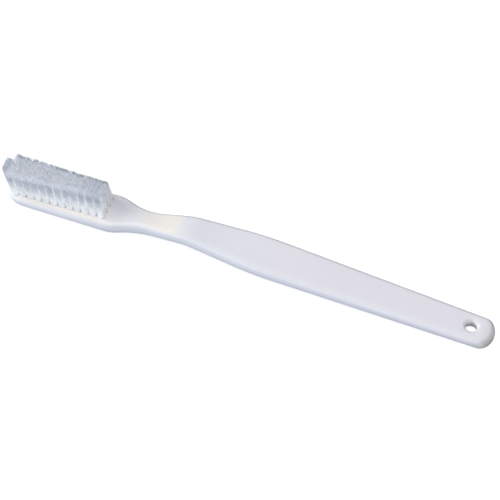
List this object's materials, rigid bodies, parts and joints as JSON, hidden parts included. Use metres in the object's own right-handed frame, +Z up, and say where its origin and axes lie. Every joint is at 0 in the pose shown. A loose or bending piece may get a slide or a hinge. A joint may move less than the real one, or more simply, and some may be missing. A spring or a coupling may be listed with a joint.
{
  "type": "manual toothbrush",
  "caption": "Manual toothbrush with a slim one-piece handle, a raised shoulder behind a waisted neck, straight-trimmed nylon bristles and a hanging hole.",
  "frame": {"origin": "on the table, under the middle of the whole brush, which lies on its back with the bristles up", "axes": "+X from the toe of the head to the end of the handle, +Z up, the way the bristles point"},
  "size_m": [0.1539, 0.0128, 0.0138],
  "materials": {
    "handle_plastic": "satin white polypropylene",
    "anchor_metal": "plain rolled wire",
    "bristle_nylon": "clear nylon filament"
  },
  "bodies": {
    "root": {"handle": "handle_plastic", "anchors": "anchor_metal", "tuft_row2_column0": "bristle_nylon", "tuft_row3_column0": "bristle_nylon", "tuft_row1_column1": "bristle_nylon", "tuft_row2_column1": "bristle_nylon", "tuft_row3_column1": "bristle_nylon", "tuft_row4_column1": "bristle_nylon", "tuft_row1_column2": "bristle_nylon", "tuft_row2_column2": "bristle_nylon", "tuft_row3_column2": "bristle_nylon", "tuft_row4_column2": "bristle_nylon", "tuft_row1_column3": "bristle_nylon", "tuft_row2_column3": "bristle_nylon", "tuft_row3_column3": "bristle_nylon", "tuft_row4_column3": "bristle_nylon", "tuft_row1_column4": "bristle_nylon", "tuft_row2_column4": "bristle_nylon", "tuft_row3_column4": "bristle_nylon", "tuft_row4_column4": "bristle_nylon", "tuft_row1_column5": "bristle_nylon", "tuft_row2_column5": "bristle_nylon", "tuft_row3_column5": "bristle_nylon", "tuft_row4_column5": "bristle_nylon", "tuft_row1_column6": "bristle_nylon", "tuft_row2_column6": "bristle_nylon", "tuft_row3_column6": "bristle_nylon", "tuft_row4_column6": "bristle_nylon", "tuft_row1_column7": "bristle_nylon", "tuft_row2_column7": "bristle_nylon", "tuft_row3_column7": "bristle_nylon", "tuft_row4_column7": "bristle_nylon", "tuft_row1_column8": "bristle_nylon", "tuft_row2_column8": "bristle_nylon", "tuft_row3_column8": "bristle_nylon", "tuft_row4_column8": "bristle_nylon", "tuft_row1_column9": "bristle_nylon", "tuft_row2_column9": "bristle_nylon", "tuft_row3_column9": "bristle_nylon", "tuft_row4_column9": "bristle_nylon", "tuft_row1_column10": "bristle_nylon", "tuft_row2_column10": "bristle_nylon", "tuft_row3_column10": "bristle_nylon", "tuft_row4_column10": "bristle_nylon", "tuft_row1_column11": "bristle_nylon", "tuft_row2_column11": "bristle_nylon", "tuft_row3_column11": "bristle_nylon", "tuft_row4_column11": "bristle_nylon", "tuft_row1_column12": "bristle_nylon", "tuft_row2_column12": "bristle_nylon", "tuft_row3_column12": "bristle_nylon", "tuft_row4_column12": "bristle_nylon"}
  },
  "joints": []
}
